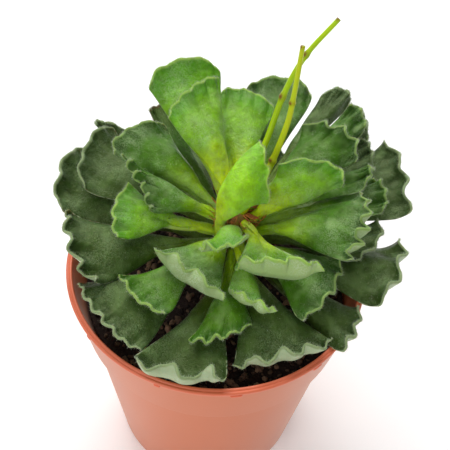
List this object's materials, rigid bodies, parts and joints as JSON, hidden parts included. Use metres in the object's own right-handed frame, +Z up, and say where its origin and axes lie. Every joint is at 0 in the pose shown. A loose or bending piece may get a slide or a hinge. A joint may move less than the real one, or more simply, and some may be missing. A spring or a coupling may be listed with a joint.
{
  "type": "potted crinkle-leaf plant",
  "caption": "Small potted succulent: a loose rosette of wedge-shaped leaves with waved crests, bare flower stalks, and soil in a thin flared plastic nursery pot that rests on its flat base.",
  "frame": {"origin": "middle of the pot's flat underside", "axes": "+Z up out of the pot, +X to the right in the picture, +Y away from the camera"},
  "size_m": [0.0661, 0.0618, 0.0902],
  "materials": {
    "pot_plastic": "matte moulded terracotta-coloured plastic",
    "soil_mix": "damp crumbly potting mix with pale grit",
    "stem_bark": "rough brown young bark",
    "stalk_green": "smooth satin yellow-green",
    "leaf_young": "fleshy satin leaf with fine pale hairs",
    "leaf_mid": "fleshy satin leaf with fine pale hairs",
    "leaf_old": "fleshy dull leaf with fine pale hairs"
  },
  "bodies": {
    "root": {"pot": "pot_plastic", "soil": "soil_mix", "stem": "stem_bark", "flower_stalk_long": "stalk_green", "flower_stalk_short": "stalk_green", "leaf_01_inner_back_left": "leaf_young", "leaf_02_inner_back": "leaf_young", "leaf_03_centre_upright": "leaf_young", "leaf_04_inner_right": "leaf_young", "leaf_05_upper_right": "leaf_mid", "leaf_06_behind_upper_right": "leaf_mid", "leaf_07_right_back_low": "leaf_old", "leaf_08_outer_back_right": "leaf_old", "leaf_09_outer_right_back": "leaf_old", "leaf_10_outer_right": "leaf_old", "leaf_11_right_small": "leaf_mid", "leaf_12_right_long": "leaf_mid", "leaf_13_large_right": "leaf_mid", "leaf_14_front_right": "leaf_mid", "leaf_15_outer_front_right": "leaf_old", "leaf_16_rim_front_right": "leaf_old", "leaf_17_rim_front": "leaf_old", "leaf_18_rim_front_left": "leaf_old", "leaf_19_rim_left_front": "leaf_old", "leaf_20_rim_left": "leaf_old", "leaf_21_outer_left": "leaf_old", "leaf_22_left_back": "leaf_old", "leaf_23_back_left_small": "leaf_old", "leaf_24_left": "leaf_mid", "leaf_25_upper_left": "leaf_mid", "leaf_26_inner_left": "leaf_young", "leaf_27_upper_front_left": "leaf_mid", "leaf_28_small_front_left": "leaf_young", "leaf_29_centre_small": "leaf_young", "leaf_30_inner_front_right": "leaf_young", "leaf_31_small_front": "leaf_young", "leaf_32_front": "leaf_young", "leaf_33_outer_back": "leaf_mid", "leaf_34_outer_back_left": "leaf_young", "leaf_35_withered_back_left": "leaf_old", "leaf_36_low_back": "leaf_old", "leaf_37_low_back_left": "leaf_old", "leaf_38_right_low": "leaf_old"}
  },
  "joints": []
}
